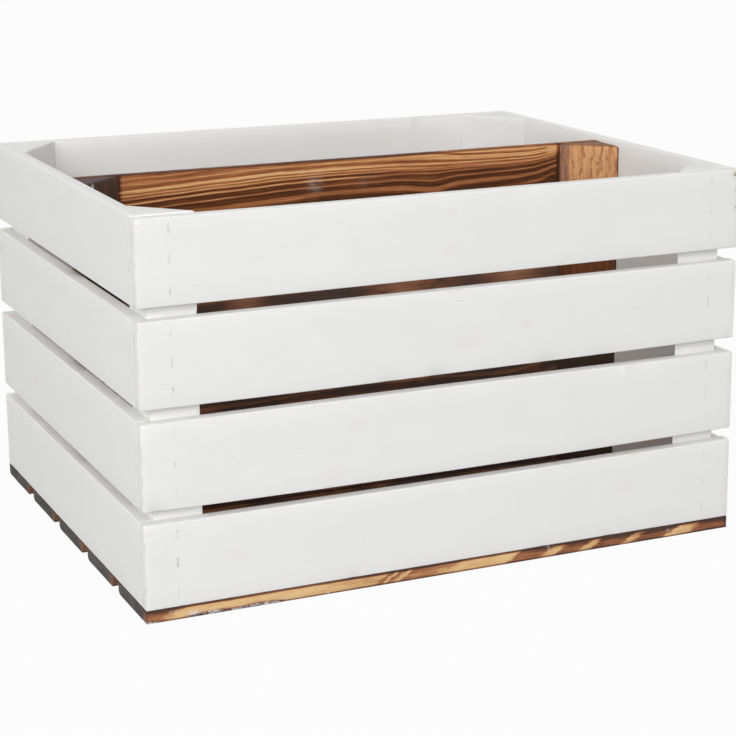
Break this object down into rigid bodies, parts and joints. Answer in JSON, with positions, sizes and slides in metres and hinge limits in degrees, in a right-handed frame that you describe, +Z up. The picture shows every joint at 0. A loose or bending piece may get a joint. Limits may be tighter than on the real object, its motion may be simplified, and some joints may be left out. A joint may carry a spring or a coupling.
{
  "type": "kindling box",
  "caption": "Slatted wooden box for kindling, open at the top, with white painted walls, flame-browned floor boards and a divider along its length.",
  "frame": {"origin": "centre of the underside, where the floor boards rest", "axes": "+X along the front to the right, +Y from the front to the back, +Z up"},
  "size_m": [0.5, 0.4, 0.3],
  "materials": {
    "painted_slat": "satin white paint over planed softwood",
    "painted_post": "satin white paint over sawn softwood",
    "scorched_floor": "flame-browned planed softwood",
    "scorched_divider": "flame-browned planed softwood",
    "scorched_post": "flame-browned sawn softwood",
    "painted_staple": "staple crown with thin white paint over it",
    "bare_staple": "bare galvanised staple wire"
  },
  "bodies": {
    "root": {"floor_board_1": "scorched_floor", "floor_board_2": "scorched_floor", "floor_board_3": "scorched_floor", "floor_board_4": "scorched_floor", "floor_board_5": "scorched_floor", "front_slat_1": "painted_slat", "front_slat_2": "painted_slat", "front_slat_3": "painted_slat", "front_slat_4": "painted_slat", "right_slat_1": "painted_slat", "right_slat_2": "painted_slat", "right_slat_3": "painted_slat", "right_slat_4": "painted_slat", "back_slat_1": "painted_slat", "back_slat_2": "painted_slat", "back_slat_3": "painted_slat", "back_slat_4": "painted_slat", "left_slat_1": "painted_slat", "left_slat_2": "painted_slat", "left_slat_3": "painted_slat", "left_slat_4": "painted_slat", "corner_post_front_right": "painted_post", "corner_post_back_right": "painted_post", "corner_post_back_left": "painted_post", "corner_post_front_left": "painted_post", "divider_board_1": "scorched_divider", "divider_board_2": "scorched_divider", "divider_board_3": "scorched_divider", "divider_board_4": "scorched_divider", "divider_post_left": "scorched_post", "divider_post_right": "scorched_post", "front_staples": "painted_staple", "right_staples": "painted_staple", "back_staples": "painted_staple", "left_staples": "painted_staple", "floor_staples": "bare_staple", "divider_staples": "bare_staple"}
  },
  "joints": []
}
